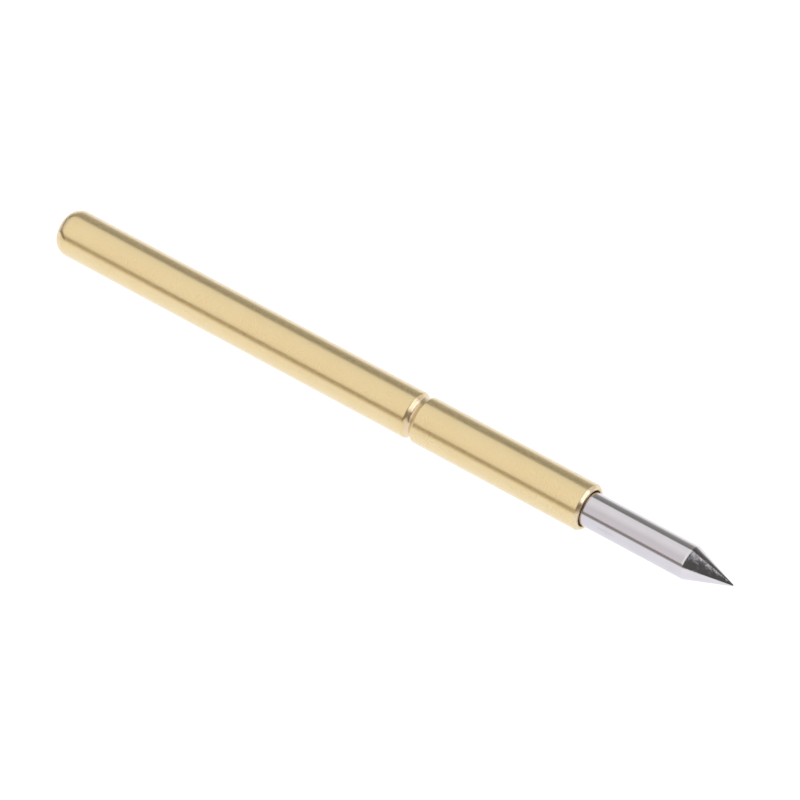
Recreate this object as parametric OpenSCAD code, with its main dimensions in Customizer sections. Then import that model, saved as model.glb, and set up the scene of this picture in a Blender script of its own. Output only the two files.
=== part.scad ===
// Spring-loaded contact pin (pogo pin).
// A drawn, gold-plated barrel holds a turned plunger with a pointed tip and the
// coil spring that pushes the plunger out. A crimp rolled into the barrel runs
// in the plunger's waist and keeps the plunger from leaving.
// The pin lies along X with its tip towards +X. The origin is on the axis, in
// the plane of the barrel's mouth. All sizes are in millimetres.

/* [Barrel] */
// Outside diameter of the barrel
barrel_d = 1.02; // [0.94:0.01:1.36]
// Length of the barrel, from its closed end to its mouth
barrel_length = 13.1; // [11:0.1:20]
// Thickness of the barrel's wall and of its closed end
barrel_wall = 0.09; // [0.06:0.01:0.12]
// Radius of the rounded corner at the closed end, outside
end_round = 0.33; // [0.2:0.01:0.42]
// Radius of the rounded edge of the mouth, outside
mouth_round = 0.05; // [0.02:0.01:0.055]

/* [Crimp] */
// Distance from the mouth back to the middle of the crimp
crimp_back = 4.17; // [3.9:0.01:6]
// Depth of the crimp in the outside of the barrel
crimp_depth = 0.08; // [0.05:0.01:0.1]
// Width of the crimp in the outside of the barrel
crimp_width = 0.27; // [0.22:0.01:0.4]

/* [Plunger] */
// Length of the plunger that stands out of the mouth at rest
stick_out = 3.44; // [3.3:0.01:5]
// Full travel of the plunger into the barrel
full_travel = 2.65; // [1.5:0.05:3]
// Angle of the pointed tip, from side to side
tip_angle = 40; // [30:1:90]
// Radius of the very end of the tip
tip_round = 0.02; // [0.01:0.005:0.05]
// Radius that blunts the edge between the shaft and the pointed tip
shoulder_round = 0.12; // [0.05:0.01:0.25]
// Length of the thick tail that the crimp holds in the barrel
tail_length = 1.06; // [0.5:0.01:1.5]
// Size of the bevels on the tail's two edges
tail_bevel = 0.03; // [0.01:0.005:0.06]

/* [Spring] */
// Thickness of the spring's wire
wire_d = 0.12; // [0.08:0.01:0.14]
// Turns that lie closed together at each end of the spring
closed_turns = 2; // [1:1:3]
// Gap between neighbouring turns in the closed ends
closed_gap = 0.006; // [0.005:0.001:0.02]
// Least gap between working turns with the plunger pushed right in
pressed_gap = 0.012; // [0.008:0.001:0.04]

/* [Clearances] */
// Gap all round between the plunger's shaft and the bore
shaft_clearance = 0.05; // [0.02:0.01:0.07]
// Gap all round between the plunger's tail and the bore
tail_clearance = 0.02; // [0.01:0.005:0.03]
// Gap all round between the plunger's waist and the crimp
waist_clearance = 0.05; // [0.02:0.01:0.07]
// Gap along the axis between the tail and the crimp at rest
stop_gap = 0.02; // [0.01:0.005:0.05]
// Length of waist that is left in front of the crimp at full travel
travel_spare = 0.1; // [0.03:0.01:0.3]
// Gap all round between the spring and the bore
spring_clearance = 0.06; // [0.03:0.01:0.09]
// Gap between the spring's ends and what they press on
seat_gap = 0.005; // [0.004:0.001:0.02]

/* [Hidden] */
$fn = 96;

// Facets in a quarter of a rounded edge, and along the crimp's wave
arc_steps = 8;
crimp_steps = 16;
// Facets round the spring's wire and round each of its turns
wire_facets = 32;
turn_facets = 64;
// The wire is wound this many times smaller and then scaled up, so that the
// half turns meet to within rounding and join into one smooth wire
winding_scale = 100;

// Barrel
barrel_r = barrel_d / 2;
bore_r = barrel_r - barrel_wall;
end_x = -barrel_length;
floor_x = end_x + barrel_wall;
floor_round = end_round - barrel_wall;
lip_bevel = (barrel_wall - mouth_round) / 2;

// Crimp: the wall keeps its thickness, so the bead inside is a little wider
crimp_x = -crimp_back;
crimp_flank = atan(PI * crimp_depth / crimp_width);
bead_width = crimp_width + 2 * barrel_wall * tan(crimp_flank / 2);
bead_r = bore_r - crimp_depth;

// Plunger
shaft_r = bore_r - shaft_clearance;
waist_r = bead_r - waist_clearance;
tail_r = bore_r - tail_clearance;
tail_front_x = crimp_x - bead_width / 2 - stop_gap;
tail_rear_x = tail_front_x - tail_length;
waist_front_x = crimp_x + bead_width / 2 + full_travel + travel_spare;
tip_half = tip_angle / 2;
nose_x = stick_out - tip_round;
cone_end_r = tip_round * cos(tip_half);
cone_end_x = nose_x + tip_round * sin(tip_half);
shoulder_x = cone_end_x - (shaft_r - cone_end_r) / tan(tip_half);

// Spring: its first turn sits in the rounded corner of the closed end
wire_r = wire_d / 2;
coil_r = bore_r - spring_clearance - wire_r;
corner_reach = max(0, coil_r - (bore_r - floor_round));
corner_r = floor_round - wire_r - seat_gap;
rear_seat = floor_round - sqrt(max(0, pow(corner_r, 2) - pow(corner_reach, 2)));
spring_rear_x = floor_x + max(rear_seat, wire_r + seat_gap);
spring_front_x = tail_rear_x - wire_r - seat_gap;
closed_pitch = wire_d + closed_gap;
working_length = spring_front_x - spring_rear_x - 2 * closed_turns * closed_pitch;
working_turns = floor((working_length - full_travel) / (wire_d + pressed_gap));
working_pitch = working_length / working_turns;
all_turns = 2 * closed_turns + working_turns;

// Points [radius, x] round an arc, by the direction that the surface faces
function arc(centre_r, centre_x, r, from, to) =
    let (steps = max(2, ceil(arc_steps * abs(to - from) / 90)))
    [
        for (i = [0:steps])
            let (a = from + (to - from) * i / steps)
            [centre_r + r * cos(a), centre_x + r * sin(a)]
    ];

// Points [radius, x] along one wave pressed crimp_depth into a wall of radius r
function wave(r, width) = [
    for (i = [0:crimp_steps])
        [
            r - crimp_depth * (1 - cos(360 * i / crimp_steps)) / 2,
            crimp_x + width * (i / crimp_steps - 0.5)
        ]
];

function backwards(points) = [for (i = [len(points) - 1:-1:0]) points[i]];

// How far the wire has climbed along the axis after a number of half turns
function climb(halves) =
    let (working = max(0, min(halves - 2 * closed_turns, 2 * working_turns)))
    ((halves - working) * closed_pitch + working * working_pitch) / 2;

// Turns an outline of [radius, x] points about the X axis
module turned(outline) {
    rotate([0, 90, 0])
        rotate_extrude()
            polygon(outline);
}

// Half a turn of wire, made small. It is a flat half ring, tilted so that it
// climbs half a pitch, and both its ends face along Y, so the next half ring
// carries on smoothly.
module half_turn(pitch) {
    tilt = atan(pitch / (4 * coil_r));
    translate([0, 0, pitch / 4 / winding_scale])
        rotate([0, tilt, 0])
            rotate_extrude(angle = 180, $fn = turn_facets)
                translate([coil_r / cos(tilt) / winding_scale, 0])
                    circle(r = wire_r / winding_scale, $fn = wire_facets);
}

// Closed tube with a rolled crimp and a rounded mouth
module barrel() {
    color("#E2CB96")
        turned(concat(
            [[0, end_x]],
            arc(barrel_r - end_round, end_x + end_round, end_round, -90, 0),
            wave(barrel_r, crimp_width),
            arc(barrel_r - mouth_round, -mouth_round, mouth_round, 0, 90),
            [[bore_r + lip_bevel, 0], [bore_r, -lip_bevel]],
            backwards(wave(bore_r, bead_width)),
            backwards(arc(bore_r - floor_round, floor_x + floor_round, floor_round, -90, 0)),
            [[0, floor_x]]
        ));
}

// Turned shaft with a pointed tip, a waist for the crimp and a thick tail
module plunger() {
    color("#D3D0D6")
        turned(concat(
            [
                [0, tail_rear_x],
                [tail_r - tail_bevel, tail_rear_x],
                [tail_r, tail_rear_x + tail_bevel],
                [tail_r, tail_front_x - tail_bevel],
                [tail_r - tail_bevel, tail_front_x],
                [waist_r, tail_front_x],
                [waist_r, waist_front_x],
                [shaft_r, waist_front_x + shaft_r - waist_r]
            ],
            arc(
                shaft_r - shoulder_round,
                shoulder_x - shoulder_round * tan(tip_half / 2),
                shoulder_round, 0, tip_half
            ),
            arc(0, nose_x, tip_round, tip_half, 90)
        ));
}

// Coil of round wire, wound closed at both ends
module spring() {
    color("#BDB6A6")
        translate([spring_rear_x, 0, 0])
            rotate([0, 90, 0])
                scale(winding_scale)
                    for (half = [0:2 * all_turns - 1])
                        translate([0, 0, climb(half) / winding_scale])
                            rotate([0, 0, 180 * half])
                                half_turn(2 * (climb(half + 1) - climb(half)));
}

barrel();
plunger();
spring();
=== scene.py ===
import math

import bpy
from mathutils import Matrix, Vector


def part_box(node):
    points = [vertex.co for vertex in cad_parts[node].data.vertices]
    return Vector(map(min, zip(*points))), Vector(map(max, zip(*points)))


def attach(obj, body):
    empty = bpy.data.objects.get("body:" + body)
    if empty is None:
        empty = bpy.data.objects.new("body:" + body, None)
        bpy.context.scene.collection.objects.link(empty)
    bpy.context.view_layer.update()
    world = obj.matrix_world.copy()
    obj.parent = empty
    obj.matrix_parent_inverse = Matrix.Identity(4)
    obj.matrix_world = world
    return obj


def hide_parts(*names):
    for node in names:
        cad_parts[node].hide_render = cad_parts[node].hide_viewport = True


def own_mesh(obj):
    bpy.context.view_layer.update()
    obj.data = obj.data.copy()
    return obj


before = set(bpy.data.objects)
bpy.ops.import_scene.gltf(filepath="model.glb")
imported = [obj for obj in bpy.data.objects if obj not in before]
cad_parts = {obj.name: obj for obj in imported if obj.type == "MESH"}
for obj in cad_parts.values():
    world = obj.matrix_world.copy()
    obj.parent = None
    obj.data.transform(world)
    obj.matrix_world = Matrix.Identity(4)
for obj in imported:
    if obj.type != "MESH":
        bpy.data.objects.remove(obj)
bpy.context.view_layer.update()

mm = 0.001  # a millimetre in the scene's metres
mergeGap = 0.0002 * mm  # points nearer than this become one

cameraPlace = {
    "azimuth": 35.705,  # degrees round from the -Y side
    "elevation": 48.132,
    "distance": 138 * mm,
    "aim": (-4.704 * mm, 0.1014 * mm, 0.0738 * mm),
    "lens": 308.91,
    "sensor": 36,
    "nearest": 1 * mm,
    "farthest": 100,
}


def addCamera(place):
    azimuth = math.radians(place["azimuth"])
    elevation = math.radians(place["elevation"])
    away = Vector((
        math.sin(azimuth) * math.cos(elevation),
        -math.cos(azimuth) * math.cos(elevation),
        math.sin(elevation),
    ))
    right = Vector((math.cos(azimuth), math.sin(azimuth), 0))
    up = away.cross(right)
    data = bpy.data.cameras.new("pinCamera")
    data.lens = place["lens"]
    data.sensor_width = place["sensor"]
    data.clip_start = place["nearest"]
    data.clip_end = place["farthest"]
    camera = bpy.data.objects.new("pinCamera", data)
    turn = Matrix((right, up, away)).transposed().to_4x4()
    spot = Vector(place["aim"]) + away * place["distance"]
    camera.matrix_world = Matrix.Translation(spot) @ turn
    bpy.context.collection.objects.link(camera)
    bpy.context.scene.camera = camera
    bpy.context.scene.view_settings.view_transform = "Standard"


addCamera(cameraPlace)
print("camera placed")


class Socket:
    # one output of a node, with the maths that can be done on it
    def __init__(self, tree, output):
        self.tree = tree
        self.output = output

    def node(self, kind, settings=None, inputs=None, output=0):
        return addNode(self.tree, kind, settings, inputs, output)

    def maths(self, operation, first, second):
        return self.node("ShaderNodeMath", {"operation": operation}, {0: first, 1: second})

    def __add__(self, other):
        return self.maths("ADD", self, other)

    def __radd__(self, other):
        return self.maths("ADD", other, self)

    def __sub__(self, other):
        return self.maths("SUBTRACT", self, other)

    def __rsub__(self, other):
        return self.maths("SUBTRACT", other, self)

    def __mul__(self, other):
        return self.maths("MULTIPLY", self, other)

    def __rmul__(self, other):
        return self.maths("MULTIPLY", other, self)

    def __pow__(self, other):
        return self.maths("POWER", self, other)

    def largest(self, other):
        return self.maths("MAXIMUM", self, other)

    def step(self, low, high):
        # 0 below low, 1 above high, and a smooth rise between them
        return self.node(
            "ShaderNodeMapRange",
            {"interpolation_type": "SMOOTHSTEP"},
            {"Value": self, "From Min": low, "From Max": high},
        )

    def band(self, rise, fall):
        # 1 between a rise and a fall, which are each (low, high)
        return self.step(*rise) * (1 - self.step(*fall))

    def swing(self, size):
        # a pattern that runs from 0 to 1, made to go both ways from 0
        return (self - 0.5) * size


def addNode(tree, kind, settings=None, inputs=None, output=0):
    # settings go first: an operation, or a ramp's stops as (place, grey or colour)
    node = tree.nodes.new(kind)
    for name, value in (settings or {}).items():
        if name == "stops":
            elements = node.color_ramp.elements
            elements.remove(elements[1])
            for i, (place, colour) in enumerate(value):
                element = elements.new(place) if i else elements[0]
                element.position = place
                colour = colour if isinstance(colour, tuple) else (colour,) * 3
                element.color = (*colour, 1)
        else:
            setattr(node, name, value)
    for name, value in (inputs or {}).items():
        if isinstance(value, Socket):
            tree.links.new(value.output, node.inputs[name])
        else:
            node.inputs[name].default_value = value
    return Socket(tree, node.outputs[output]) if node.outputs else node


def newTree(name):
    material = bpy.data.materials.new(name)
    material.use_nodes = True
    material.node_tree.nodes.clear()
    return material, material.node_tree


def mixColours(tree, factor, first, second):
    # colour sockets of a Mix node stand at 6 and 7, its colour result at 2
    first, second = (
        (*colour, 1) if isinstance(colour, tuple) else colour for colour in (first, second)
    )
    return addNode(
        tree, "ShaderNodeMix", {"data_type": "RGBA"}, {0: factor, 6: first, 7: second}, 2
    )


studio = {
    "floorSize": 6.0,
    "floorColour": (0.86, 0.86, 0.86),
    "floorTint": (1.0, 1.0, 1.01),
    "floorGlow": 1.16,
    "ownWhite": 0.95,  # how much of the floor's white is its own
    "roomTint": (1.0, 0.97, 0.91),
    # grey of the room by height, as a sine, behind the pin and in front of it
    "farSide": [
        (0.0, 0.76), (0.1, 0.60), (0.2, 0.47), (0.34, 0.35), (0.5, 0.29), (0.7, 0.26), (1.0, 0.26),
    ],
    "nearSide": [
        (0.0, 1.0), (0.03, 0.6), (0.08, (0.38, 0.343, 0.322)), (1.0, (0.31, 0.28, 0.26)),
    ],
    "sideBlend": (-0.25, 0.25),  # from the front of the room to its back
    # grey of the room towards the tip, by how squarely it lies that way
    "tipSide": [
        (0.0, 0.16), (0.12, 0.095), (0.42, 0.11), (0.62, (0.15, 0.10, 0.05)),
        (1.0, (0.20, 0.14, 0.07)),
    ],
    "tipBlend": (-0.1, 0.15),
    "tipRise": (0.04, 0.16),  # height over which that side sets in
    "tipCorner": 0.85,  # grey of the corner behind the pin and towards the tip
    "cornerAhead": (0.14, 0.3),
    "cornerBehind": (0.55, 0.8),
    "rearEnd": 0.08,  # grey beyond the closed end
    "rearBlend": (0.72, 0.88),
}


def clearSelection():
    if bpy.context.object and bpy.context.object.mode != "OBJECT":
        bpy.ops.object.mode_set(mode="OBJECT")
    bpy.ops.object.select_all(action="DESELECT")


def addFloor(height):
    clearSelection()
    bpy.ops.mesh.primitive_plane_add(size=studio["floorSize"], location=(0, 0, height))
    floor = bpy.context.object
    floor.name = "studioFloor"
    material, tree = newTree("floorPaper")
    matt = addNode(tree, "ShaderNodeBsdfDiffuse", None, {"Color": (*studio["floorColour"], 1)})
    white = addNode(
        tree, "ShaderNodeEmission", None,
        {"Color": (*studio["floorTint"], 1), "Strength": studio["floorGlow"]},
    )
    rays = addNode(tree, "ShaderNodeLightPath").output.node
    seen = Socket(tree, rays.outputs["Is Camera Ray"])
    seen = seen.largest(Socket(tree, rays.outputs["Is Glossy Ray"]))
    seen = seen.largest(Socket(tree, rays.outputs["Is Transmission Ray"]))
    mixed = addNode(
        tree, "ShaderNodeMixShader", None, {0: seen * studio["ownWhite"], 1: matt, 2: white}
    )
    addNode(tree, "ShaderNodeOutputMaterial", None, {"Surface": mixed})
    floor.data.materials.append(material)


def addWorld():
    world = bpy.data.worlds.new("studioWorld")
    bpy.context.scene.world = world
    world.use_nodes = True
    tree = world.node_tree
    tree.nodes.clear()
    direction = addNode(tree, "ShaderNodeTexCoord", None, None, "Generated")
    split = addNode(tree, "ShaderNodeSeparateXYZ", None, {0: direction}).output.node
    ahead, behind, height = (Socket(tree, split.outputs[axis]) for axis in "XYZ")
    far = addNode(tree, "ShaderNodeValToRGB", {"stops": studio["farSide"]}, {0: height})
    near = addNode(tree, "ShaderNodeValToRGB", {"stops": studio["nearSide"]}, {0: height})
    tip = addNode(tree, "ShaderNodeValToRGB", {"stops": studio["tipSide"]}, {0: ahead})
    grey = mixColours(tree, behind.step(*studio["sideBlend"]), near, far)
    towardsTip = ahead.step(*studio["tipBlend"]) * height.step(*studio["tipRise"])
    grey = mixColours(tree, towardsTip, grey, tip)
    corner = ahead.step(*studio["cornerAhead"]) * behind.step(*studio["cornerBehind"])
    grey = mixColours(tree, corner, grey, (studio["tipCorner"],) * 3)
    beyond = (0 - ahead).step(*studio["rearBlend"])
    grey = mixColours(tree, beyond, grey, (studio["rearEnd"],) * 3)
    colour = addNode(
        tree, "ShaderNodeVectorMath", {"operation": "MULTIPLY"}, {0: grey, 1: studio["roomTint"]}
    )
    background = addNode(tree, "ShaderNodeBackground", None, {"Color": colour, "Strength": 1.0})
    addNode(tree, "ShaderNodeOutputWorld", None, {"Surface": background})


softboxes = {
    "topSoftbox": {
        "facing": (0, -0.2419, 0.9703),  # the way from the pin to the lamp
        "along": (1, 0, 0),  # the way its width runs
        "turn": -2,
        "distance": 0.5,
        "across": (-4.0, 0.286),  # its edges, in shares of the distance
        "up": (-1.46, 1.35),
        "radiance": 0.76,
        "colour": (1, 1, 1),
    },
    "rightSoftbox": {
        "facing": (0.688, 0.21, 0.695),
        "along": (0.21, -0.688, 0),
        "turn": 0,
        "distance": 0.5,
        "across": (-0.5, 0.62),
        "up": (-0.287, 0.287),
        "radiance": 1.85,
        "colour": (0.97, 1, 1.1),
    },
}


def addSoftbox(name, box):
    facing, right = Vector(box["facing"]).normalized(), Vector(box["along"])
    right = (right - facing * right.dot(facing)).normalized()
    right = Matrix.Rotation(math.radians(box["turn"]), 3, facing) @ right
    over = facing.cross(right)
    near, far = box["across"]
    under, above = box["up"]
    data = bpy.data.lights.new(name, "AREA")
    data.shape = "RECTANGLE"
    data.size = (far - near) * box["distance"]
    data.size_y = (above - under) * box["distance"]
    data.color = box["colour"]
    data.energy = box["radiance"] * math.pi * data.size * data.size_y
    lamp = bpy.data.objects.new(name, data)
    place = facing + right * (near + far) / 2 + over * (under + above) / 2
    turn = Matrix((right, over, facing)).transposed().to_4x4()
    lamp.matrix_world = Matrix.Translation(place * box["distance"]) @ turn
    lamp.visible_camera = False
    bpy.context.collection.objects.link(lamp)


addFloor(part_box("barrel")[0][2])  # the pin lies on it
addWorld()
for name, box in softboxes.items():
    addSoftbox(name, box)
print("floor, world and lamps placed")


def arc(centreX, centreR, radius, start, end, steps):
    # points (x, r) round an arc; 0 degrees faces outwards and 90 degrees faces +X
    points = []
    for i in range(steps + 1):
        angle = math.radians(start + (end - start) * i / steps)
        points.append((centreX + radius * math.sin(angle), centreR + radius * math.cos(angle)))
    return points


def wave(centreX, wallR, depth, width, steps):
    # points (x, r) along one smooth wave pressed into a wall
    return [
        (
            centreX + width * (i / steps - 0.5),
            wallR - depth * (1 - math.cos(2 * math.pi * i / steps)) / 2,
        )
        for i in range(steps + 1)
    ]


def mergePoints():
    bpy.ops.mesh.select_all(action="SELECT")
    bpy.ops.mesh.remove_doubles(threshold=mergeGap)


def closeShell():
    mergePoints()
    bpy.ops.mesh.normals_make_consistent(inside=False)


def turnOutline(name, outline, sizes):
    # a point is drawn out along the outline and spun once round the X axis
    clearSelection()
    x, r = outline[0]
    bpy.ops.mesh.primitive_plane_add(size=0.01 * mm, location=(x * mm, 0, r * mm))
    piece = bpy.context.object
    piece.name = name
    bpy.ops.object.transform_apply(location=True, rotation=True, scale=True)
    bpy.ops.object.mode_set(mode="EDIT")
    bpy.ops.mesh.select_all(action="SELECT")
    bpy.ops.mesh.merge(type="CENTER")
    for nextX, nextR in outline[1:]:
        move = ((nextX - x) * mm, 0, (nextR - r) * mm)
        bpy.ops.mesh.extrude_vertices_move(TRANSFORM_OT_translate={"value": move})
        x, r = nextX, nextR
    bpy.ops.mesh.select_all(action="SELECT")
    bpy.ops.mesh.spin(
        steps=sizes["turnSteps"], angle=2 * math.pi, center=(0, 0, 0), axis=(1, 0, 0),
    )
    closeShell()
    bpy.ops.object.mode_set(mode="OBJECT")
    bpy.ops.object.shade_smooth_by_angle(angle=math.radians(sizes["sharpAngle"]))
    return piece


barrelSizes = {  # millimetres and degrees
    "wall": 0.09,
    "endShort": 0.02,  # how far the closed end stands inside the frame
    "endWide": 0.36,  # radius of the closed end's rounding, off the barrel's side
    "endTight": 0.21,  # and where it runs into the flat end
    "endAngle": 35,  # where the one runs into the other
    "floorRound": 0.24,
    "mouthAngle": 34,  # the bevel of the mouth, away from the barrel's side
    "mouthLength": 0.078,
    "mouthRound": 0.03,
    "lipRound": 0.014,
    "lipInset": 0.022,  # how far the lip stands into the bore
    "lipLength": 0.10,
    "crimpBack": 4.137,
    "crimpDepth": 0.08,
    "crimpWidth": 0.27,
    "support": 0.02,  # distance of the rings that keep a straight wall's shading true
    "arcSteps": 14,
    "mouthSteps": 8,
    "lipSteps": 6,
    "crimpSteps": 28,
    "turnSteps": 160,
    "sharpAngle": 30,  # an edge that bends more than this stays sharp
}


def roundEnd(sizes, endX, radius):
    # a wide arc off the barrel's side that runs into a tighter one at the flat end
    angle, wide, tight = sizes["endAngle"], sizes["endWide"], sizes["endTight"]
    sine, cosine = math.sin(math.radians(angle)), math.cos(math.radians(angle))
    wideX = endX + tight + (wide - tight) * sine
    tightR = radius - wide + (wide - tight) * cosine
    corner = arc(endX + tight, tightR, tight, -90, -angle, sizes["arcSteps"])
    return corner + arc(wideX, radius - wide, wide, -angle, 0, sizes["arcSteps"])[1:]


def mouthBevel(sizes, radius):
    # a short bevel that runs in towards the bore, soft at both ends
    angle, soft, lip = sizes["mouthAngle"], sizes["mouthRound"], sizes["lipRound"]
    steps = sizes["mouthSteps"]
    outer = arc(-sizes["mouthLength"], radius - soft, soft, 0, angle, steps)
    startX, startR = outer[-1]
    endX = lip * (math.sin(math.radians(angle)) - 1)
    endR = startR - (endX - startX) * math.tan(math.radians(angle))
    centreR = endR - lip * math.cos(math.radians(angle))
    return outer + arc(-lip, centreR, lip, angle, 90, steps)


def buildBarrel(sizes):
    low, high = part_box("barrel")
    endX = low[0] / mm + sizes["endShort"]
    radius = high[2] / mm
    wall, near, steps = sizes["wall"], sizes["support"], sizes["arcSteps"]
    depth, width, crimpX = sizes["crimpDepth"], sizes["crimpWidth"], -sizes["crimpBack"]
    bore = radius - wall
    lip, lipR = sizes["lipRound"], bore - sizes["lipInset"]
    floorX, floorRound = endX + wall, sizes["floorRound"]
    # the wall keeps its thickness in the crimp, so the bead inside is a little wider
    beadWidth = width + 2 * wall * math.tan(math.atan(math.pi * depth / width) / 2)
    closedEnd = roundEnd(sizes, endX, radius)
    outside = (
        [(endX, 0), (endX, closedEnd[0][1] - near)]
        + closedEnd
        + [(closedEnd[-1][0] + near, radius), (crimpX - width / 2 - near, radius)]
        + wave(crimpX, radius, depth, width, sizes["crimpSteps"])
        + [(crimpX + width / 2 + near, radius), (-sizes["mouthLength"] - near, radius)]
        + mouthBevel(sizes, radius)
    )
    inside = (
        [(floorX, 0), (floorX, bore - floorRound - near)]
        + arc(floorX + floorRound, bore - floorRound, floorRound, -90, 0, steps)
        + [(floorX + floorRound + near, bore), (crimpX - beadWidth / 2 - near, bore)]
        + wave(crimpX, bore, depth, beadWidth, sizes["crimpSteps"])
        + [(crimpX + beadWidth / 2 + near, bore), (-sizes["lipLength"] - near, bore)]
        + [(-sizes["lipLength"], lipR), (-lip - near, lipR)]
        + arc(-lip, lipR + lip, -lip, 0, -90, sizes["lipSteps"])
    )
    return turnOutline("goldBarrel", outside + inside[::-1], sizes)


goldBarrel = buildBarrel(barrelSizes)
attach(goldBarrel, "barrel")
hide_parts("barrel")
print("barrel turned")


plungerSizes = {  # millimetres and degrees
    "shaftR": 0.37,
    "waistR": 0.29,
    "tailBevel": 0.03,
    "tailLength": 1.06,
    "waistFront": -1.2496,  # back from the mouth
    "tipAngle": 38.6,
    "tipRound": 0.02,
    "shoulderRound": 0.035,
    "support": 0.02,
    "coneRings": (0.3, 0.6, 0.85),  # shares of the cone's length
    "arcSteps": 12,
    "tipSteps": 8,
    "turnSteps": 144,
    "sharpAngle": 30,
}


def shoulderPlace(sizes, tipX):
    # where the straight shaft would meet the straight cone
    half = math.radians(sizes["tipAngle"] / 2)
    coneR = sizes["tipRound"] * math.cos(half)
    coneX = tipX - sizes["tipRound"] + sizes["tipRound"] * math.sin(half)
    return coneX - (sizes["shaftR"] - coneR) / math.tan(half)


def buildPlunger(sizes):
    low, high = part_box("plunger")
    rearX, tipX, tailR = low[0] / mm, high[0] / mm, high[2] / mm
    shaftR, waistR, waistX = sizes["shaftR"], sizes["waistR"], sizes["waistFront"]
    bevel, near, blunt = sizes["tailBevel"], sizes["support"], sizes["shoulderRound"]
    frontX = rearX + sizes["tailLength"]
    half = sizes["tipAngle"] / 2
    fall = math.tan(math.radians(half))
    bendX = shoulderPlace(sizes, tipX) - blunt * math.tan(math.radians(half / 2))
    shoulder = arc(bendX, shaftR - blunt, blunt, 0, half, sizes["arcSteps"])
    lastX, lastR = shoulder[-1]
    coneRings = [(tipX - lastX) * share for share in sizes["coneRings"]]
    outline = (
        [(rearX, 0), (rearX, tailR - bevel), (rearX + bevel, tailR)]
        + [(frontX - bevel, tailR), (frontX, tailR - bevel), (frontX, waistR)]
        + [(waistX, waistR), (waistX + shaftR - waistR, shaftR), (bendX - near, shaftR)]
        + shoulder
        + [(lastX + along, lastR - along * fall) for along in [near] + coneRings]
        + arc(tipX - sizes["tipRound"], 0, sizes["tipRound"], half, 90, sizes["tipSteps"])
    )
    return turnOutline("nickelPlunger", outline, sizes)


nickelPlunger = buildPlunger(plungerSizes)
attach(nickelPlunger, "plunger")
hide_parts("plunger")
print("plunger turned")


springSizes = {  # millimetres and degrees
    "wireR": 0.06,
    "coilR": 0.30,
    "rearX": -12.8974,  # middle of the wire where it starts
    "closedPitch": 0.126,
    "closedTurns": 2,
    "workingPitch": 0.215875,
    "workingTurns": 32,
    "turnSteps": 48,
    "wireSides": 12,
    "sharpAngle": 50,
    "pressedShare": 0.648,  # of its length that is left at full travel
}


def windSection(name, sizes, startX, pitch, turns):
    # the wire's round outline, wound along X
    clearSelection()
    bpy.ops.mesh.primitive_circle_add(
        vertices=sizes["wireSides"], radius=sizes["wireR"] * mm,
        location=(startX * mm, 0, -sizes["coilR"] * mm), rotation=(math.pi / 2, 0, 0),
    )
    section = bpy.context.object
    section.name = name
    bpy.ops.object.transform_apply(location=True, rotation=True, scale=True)
    screw = section.modifiers.new("winding", "SCREW")
    screw.axis = "X"
    screw.angle = 2 * math.pi
    screw.screw_offset = pitch * mm
    screw.iterations = turns
    screw.steps = sizes["turnSteps"]
    screw.render_steps = sizes["turnSteps"]
    bpy.ops.object.modifier_apply(modifier=screw.name)
    return section


def buildSpring(sizes):
    closed = sizes["closedPitch"], sizes["closedTurns"]
    working = sizes["workingPitch"], sizes["workingTurns"]
    workingX = sizes["rearX"] + closed[0] * closed[1]
    frontX = workingX + working[0] * working[1]
    sections = [
        windSection("coilSpring", sizes, sizes["rearX"], *closed),
        windSection("working", sizes, workingX, *working),
        windSection("front", sizes, frontX, *closed),
    ]
    clearSelection()
    for section in sections:
        section.select_set(True)
    spring = sections[0]
    bpy.context.view_layer.objects.active = spring
    bpy.ops.object.join()
    bpy.ops.object.mode_set(mode="EDIT")
    mergePoints()
    bpy.ops.mesh.select_all(action="DESELECT")
    bpy.ops.mesh.select_non_manifold(extend=False, use_wire=False, use_multi_face=False)
    bpy.ops.mesh.edge_face_add()  # closes the wire's two ends
    closeShell()
    bpy.ops.object.mode_set(mode="OBJECT")
    bpy.ops.object.shade_smooth_by_angle(angle=math.radians(sizes["sharpAngle"]))
    return spring


coilSpring = buildSpring(springSizes)
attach(coilSpring, "barrel")
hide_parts("spring")
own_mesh(coilSpring)
print("spring wound")


def placeInMm(tree, stretch=(1, 1, 1)):
    raw = addNode(tree, "ShaderNodeTexCoord", None, None, "Object")
    scale = tuple(part / mm for part in stretch)
    return addNode(tree, "ShaderNodeMapping", None, {"Vector": raw, "Scale": scale})


def splitPlace(tree):
    split = addNode(tree, "ShaderNodeSeparateXYZ", None, {0: placeInMm(tree)}).output.node
    return (Socket(tree, split.outputs[axis]) for axis in "XYZ")


def noise(tree, scale, detail, stretch=(1, 1, 1), roughness=0.5):
    # a stretch below 1 draws the pattern out that way
    inputs = {
        "Vector": placeInMm(tree, stretch),
        "Scale": scale,
        "Detail": detail,
        "Roughness": roughness,
    }
    return addNode(tree, "ShaderNodeTexNoise", None, inputs, "Fac")


def finishMetal(piece, material, colour, roughness, height, extra=None):
    # height is the surface's relief in millimetres
    tree = material.node_tree
    bump = {"Strength": 1.0, "Distance": mm, "Height": height}
    normal = addNode(tree, "ShaderNodeBump", None, bump)
    inputs = {"Base Color": colour, "Metallic": 1.0, "Roughness": roughness, "Normal": normal}
    inputs.update(extra or {})
    metal = addNode(tree, "ShaderNodeBsdfPrincipled", None, inputs)
    addNode(tree, "ShaderNodeOutputMaterial", None, {"Surface": metal})
    piece.data.materials.clear()
    piece.data.materials.append(material)


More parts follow.
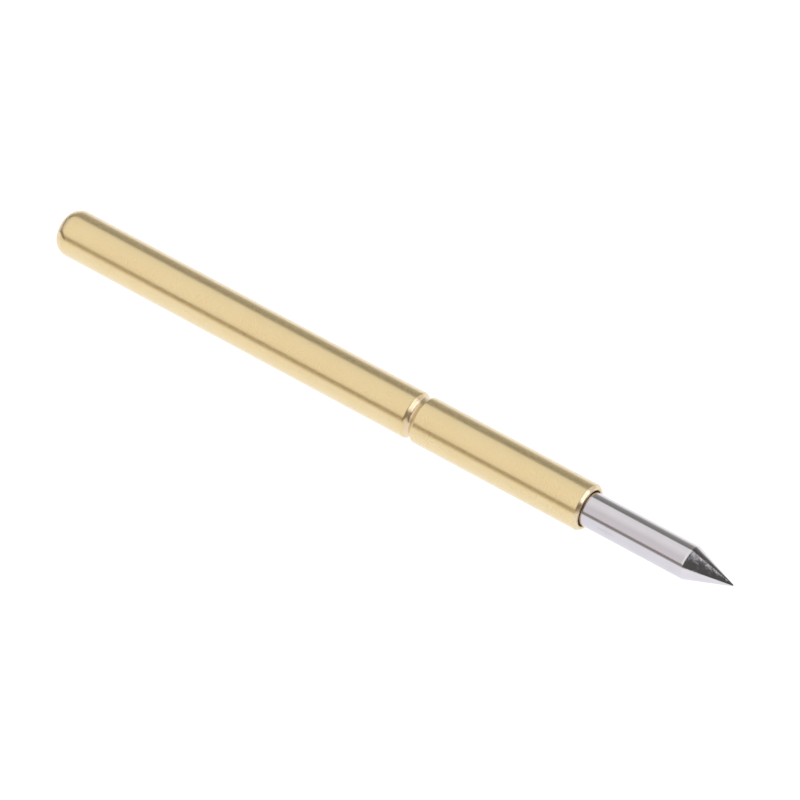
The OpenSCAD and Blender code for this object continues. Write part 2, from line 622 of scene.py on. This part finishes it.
# a pair of places, in millimetres on the piece, is where a mask rises or falls
goldFinish = {
    "plain": (0.78, 0.635, 0.350),
    "warm": (0.785, 0.608, 0.305),
    "inside": (0.75, 0.58, 0.32),
    "insideRadius": (0.422, 0.432),
    "worn": (0.80, 0.67, 0.51),
    "crimpRadius": (0.44, 0.50),
    "crimpWear": (0.45, 0.5),  # the least of it, and what the clouds add
    "lipStart": (-0.09, -0.07),
    "lipWear": (0.4, 0.35),
    "paintedReflectionLine": (0.74, 0.55, 0.25),  # painted reflection: a warmer line where the dark reflection on the near side runs
    "paintedReflectionShare": 0.9,
    "paintedReflectionSides": ((-0.475, -0.455), (-0.43, -0.40)),
    "paintedReflectionHeight": (0.1, 0.2),
    "paintedShade": (0.16, 0.12, 0.06),  # painted shade: a dark patch low on the rounding of the closed end, standing in for a dark reflection
    "paintedShadeShare": 0.75,
    "paintedShadeAlong": ((0.075, 0.125), (0.14, 0.20)),  # from the closed end
    "paintedShadeLean": 1.6,  # how fast it runs forwards beyond the bend
    "paintedShadeBend": -0.35,
    "paintedShadeSide": (-0.37, -0.26),
    "paintedShadeHeight": (0.235, 0.26),
    "clouds": {"scale": 1.6, "detail": 3.0},
    "drawn": {"scale": 18.0, "detail": 3.0, "stretch": (0.05, 1, 1)},
    "waves": {"scale": 4.5, "detail": 2.0, "stretch": (0.5, 1, 1)},
    "fine": {"scale": 40.0, "detail": 2.0},
    "grains": {"scale": 110.0, "detail": 1.0},
    "dullGrain": (0.50, 0.60),
    "roughness": 0.23,
    "cloudRoughness": 0.06,
    "drawnRoughness": 0.05,
    "grainRoughness": 0.40,  # how much rougher the dull grains are
    "insideRoughness": 0.2,
    "paintedShadeRoughness": 0.2,
    "paintedShadeMetal": 0.9,  # how much less of a metal the painted shade is
    "waveRelief": 0.0014,
    "drawnRelief": 0.00006,
    "fineRelief": 0.00003,
    "coatRoughness": 0.25,
    "coatIndex": 1.75,
}


def goldPlating(piece, finish, endX):
    material, tree = newTree("paleGoldPlating")
    x, y, z = splitPlace(tree)
    drawn = noise(tree, **finish["drawn"])
    waves = noise(tree, **finish["waves"])
    cloud = noise(tree, **finish["clouds"])
    fine = noise(tree, **finish["fine"])
    dullGrain = noise(tree, **finish["grains"]).step(*finish["dullGrain"])
    radius = (y * y + z * z) ** 0.5
    inside = 1 - radius.step(*finish["insideRadius"])
    least, more = finish["crimpWear"]
    worn = (1 - radius.step(*finish["crimpRadius"])) * (least + cloud * more)
    least, more = finish["lipWear"]
    lip = x.step(*finish["lipStart"]) * (1 - inside)
    worn = worn.largest(lip * (least + cloud * more))
    # painted reflection: a warm band on the near upper side, tinting the dark line reflected there
    paintedReflectionLine = y.band(*finish["paintedReflectionSides"]) * z.step(*finish["paintedReflectionHeight"])
    # painted shade: a dark patch low on the closed end's rounding, in place of a dark reflection
    forwards = (finish["paintedShadeBend"] - y).largest(0.0) * finish["paintedShadeLean"]
    paintedShade = (x - endX - forwards).band(*finish["paintedShadeAlong"]) * finish["paintedShadeShare"]
    paintedShade = paintedShade * (1 - y.step(*finish["paintedShadeSide"])) * z.step(*finish["paintedShadeHeight"])
    colour = mixColours(tree, cloud, finish["plain"], finish["warm"])
    # the painted reflection's warm tint goes into the colour
    colour = mixColours(tree, paintedReflectionLine * finish["paintedReflectionShare"], colour, finish["paintedReflectionLine"])
    colour = mixColours(tree, worn, colour, finish["worn"])
    colour = mixColours(tree, inside, colour, finish["inside"])
    # the painted shade darkens the colour there
    colour = mixColours(tree, paintedShade, colour, finish["paintedShade"])
    roughness = finish["roughness"] + cloud.swing(finish["cloudRoughness"])
    roughness = roughness + drawn.swing(finish["drawnRoughness"])
    roughness = roughness + dullGrain * finish["grainRoughness"]
    roughness = roughness + inside * finish["insideRoughness"]
    roughness = roughness + paintedShade * finish["paintedShadeRoughness"]
    height = waves * finish["waveRelief"] + drawn * finish["drawnRelief"]
    height = height + fine * finish["fineRelief"]
    extra = {
        # the painted shade also takes metal and coat away
        "Metallic": 1 - paintedShade * finish["paintedShadeMetal"],
        "Coat Weight": (1 - paintedShade) * (1 - worn),
        "Coat Roughness": finish["coatRoughness"],
        "Coat IOR": finish["coatIndex"],
    }
    finishMetal(piece, material, colour, roughness, height, extra)


nickelFinish = {
    "plain": (0.67, 0.65, 0.69),
    # the duller nickel serves the clouds' own tone and the painted shade band
    "dull": (0.515, 0.50, 0.545),
    "cloudDulls": (0.3, 0.6),  # the cloud where it starts, and how much it does
    "shadeBandSide": (-0.25, -0.08),  # painted shade: a darker band along the shaft
    "shadeBandFades": (-0.315, -0.27),  # which nearly fades out again beyond this
    "shadeBandFadeShare": 0.8,
    "edge": (0.70, 0.69, 0.71),  # painted highlight: a paler edge on the upper side, where the shaft meets the cone
    "edgeStart": (-0.05, -0.01),
    "edgeHeight": (0.12, 0.22),
    "coneStart": (-0.01, 0.02),
    "rubbed": (0.52, 0.50, 0.52),  # a faint line on the near side, out of the mouth
    "rubShare": 0.6,
    "rubAlong": ((0.38, 0.5), (0.7, 0.86)),
    "rubHeight": ((0.035, 0.06), (0.068, 0.093)),
    "rubSide": (-0.2, -0.1),
    "clouds": {"scale": 2.0, "detail": 3.0},
    "drawn": {"scale": 16.0, "detail": 3.0, "stretch": (0.08, 1, 1)},
    "ground": {"scale": 9.0, "detail": 4.0, "stretch": (0.8, 1, 1), "roughness": 0.6},
    "groundSpot": (0.48, 0.66),
    "roughness": 0.14,
    "cloudRoughness": 0.05,
    "drawnRoughness": 0.04,
    "coneRoughness": 0.06,
    "coneSpots": 0.11,  # how much rougher the spots on the ground cone are
    "drawnRelief": 0.00006,
    "groundRelief": 0.0013,
}


def nickelPlating(piece, finish, shoulderX):
    material, tree = newTree("brightNickelPlating")
    x, y, z = splitPlace(tree)
    drawn = noise(tree, **finish["drawn"])
    ground = noise(tree, **finish["ground"])
    cloud = noise(tree, **finish["clouds"])
    onCone = (x - shoulderX).step(*finish["coneStart"])
    # painted highlight: a paler ring on the upper side, at the foot of the cone
    edge = (x - shoulderX).step(*finish["edgeStart"]) * (1 - onCone)
    edge = edge * z.step(*finish["edgeHeight"])
    rub = x.band(*finish["rubAlong"]) * z.band(*finish["rubHeight"])
    rub = rub * (1 - y.step(*finish["rubSide"])) * finish["rubShare"]
    # painted shade: a darker band along the shaft, fading out beyond its far edge
    band = 1 - y.step(*finish["shadeBandSide"])
    band = band - (1 - y.step(*finish["shadeBandFades"])) * finish["shadeBandFadeShare"]
    start, much = finish["cloudDulls"]
    # the clouds give the nickel's own duller tone; the band adds painted shade
    dull = (cloud - start) * much + band * (1 - onCone)
    colour = mixColours(tree, dull, finish["plain"], finish["dull"])
    # the painted highlight goes into the colour
    colour = mixColours(tree, edge, colour, finish["edge"])
    colour = mixColours(tree, rub, colour, finish["rubbed"])
    roughness = finish["roughness"] + cloud.swing(finish["cloudRoughness"])
    roughness = roughness + drawn.swing(finish["drawnRoughness"])
    spots = ground.step(*finish["groundSpot"]) * finish["coneSpots"]
    roughness = roughness + onCone * (spots + finish["coneRoughness"] - finish["roughness"])
    height = drawn * (1 - onCone) * finish["drawnRelief"]
    height = height + ground * onCone * finish["groundRelief"]
    finishMetal(piece, material, colour, roughness, height)


wireFinish = {
    "plain": (0.50, 0.48, 0.42),
    "dull": (0.42, 0.40, 0.35),
    "clouds": {"scale": 4.0, "detail": 3.0},
    "fine": {"scale": 50.0, "detail": 2.0},
    "roughness": 0.22,
    "fineRoughness": 0.15,
    "fineRelief": 0.0003,
}


def springWire(piece, finish):
    material, tree = newTree("drawnSpringWire")
    cloud = noise(tree, **finish["clouds"])
    fine = noise(tree, **finish["fine"])
    colour = mixColours(tree, cloud, finish["plain"], finish["dull"])
    roughness = finish["roughness"] + fine.swing(finish["fineRoughness"])
    finishMetal(piece, material, colour, roughness, fine * finish["fineRelief"])


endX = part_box("barrel")[0][0] / mm + barrelSizes["endShort"]
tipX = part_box("plunger")[1][0] / mm
goldPlating(goldBarrel, goldFinish, endX)
nickelPlating(nickelPlunger, nickelFinish, shoulderPlace(plungerSizes, tipX))
springWire(coilSpring, wireFinish)
print("finishes made")
